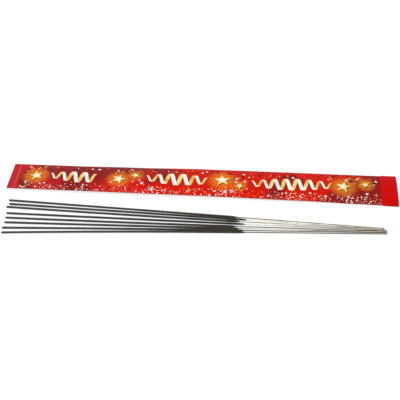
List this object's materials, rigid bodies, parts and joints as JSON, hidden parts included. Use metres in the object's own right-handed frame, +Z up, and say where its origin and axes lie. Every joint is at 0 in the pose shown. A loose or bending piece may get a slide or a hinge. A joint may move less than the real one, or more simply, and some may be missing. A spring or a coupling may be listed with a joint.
{
  "type": "sparkler set",
  "caption": "Hand-held sparklers, dark composition dipped on straight steel wires, laid in a fan beside their long flat red paper packet.",
  "frame": {"origin": "middle of the packet's back, on the table", "axes": "+X along the packet from its sealed end to its mouth, +Y from the sparklers to the packet, +Z up"},
  "size_m": [0.425, 0.117, 0.0063],
  "materials": {
    "steel_wire": "drawn bright steel",
    "composition": "matte, slightly grainy, dark grey",
    "printed_paper": "gloss varnished print"
  },
  "bodies": {
    "packet": {"packet_sleeve": "printed_paper"},
    "sparkler_1": {"sparkler_1_wire": "steel_wire", "sparkler_1_composition": "composition"},
    "sparkler_2": {"sparkler_2_wire": "steel_wire", "sparkler_2_composition": "composition"},
    "sparkler_3": {"sparkler_3_wire": "steel_wire", "sparkler_3_composition": "composition"},
    "sparkler_4": {"sparkler_4_wire": "steel_wire", "sparkler_4_composition": "composition"},
    "sparkler_5": {"sparkler_5_wire": "steel_wire", "sparkler_5_composition": "composition"},
    "sparkler_6": {"sparkler_6_wire": "steel_wire", "sparkler_6_composition": "composition"},
    "sparkler_7": {"sparkler_7_wire": "steel_wire", "sparkler_7_composition": "composition"},
    "sparkler_8": {"sparkler_8_wire": "steel_wire", "sparkler_8_composition": "composition"}
  },
  "joints": [
    {"name": "sparkler_1_lift", "type": "slide", "parent": "packet", "child": "sparkler_1", "axis": [0, 0, 1], "range_m": [0, 0.12]},
    {"name": "sparkler_2_lift", "type": "slide", "parent": "packet", "child": "sparkler_2", "axis": [0, 0, 1], "range_m": [0, 0.12]},
    {"name": "sparkler_3_lift", "type": "slide", "parent": "packet", "child": "sparkler_3", "axis": [0, 0, 1], "range_m": [0, 0.12]},
    {"name": "sparkler_4_lift", "type": "slide", "parent": "packet", "child": "sparkler_4", "axis": [0, 0, 1], "range_m": [0, 0.12]},
    {"name": "sparkler_5_lift", "type": "slide", "parent": "packet", "child": "sparkler_5", "axis": [0, 0, 1], "range_m": [0, 0.12]},
    {"name": "sparkler_6_lift", "type": "slide", "parent": "packet", "child": "sparkler_6", "axis": [0, 0, 1], "range_m": [0, 0.12]},
    {"name": "sparkler_7_lift", "type": "slide", "parent": "packet", "child": "sparkler_7", "axis": [0, 0, 1], "range_m": [0, 0.12]},
    {"name": "sparkler_8_lift", "type": "slide", "parent": "packet", "child": "sparkler_8", "axis": [0, 0, 1], "range_m": [0, 0.12]}
  ]
}
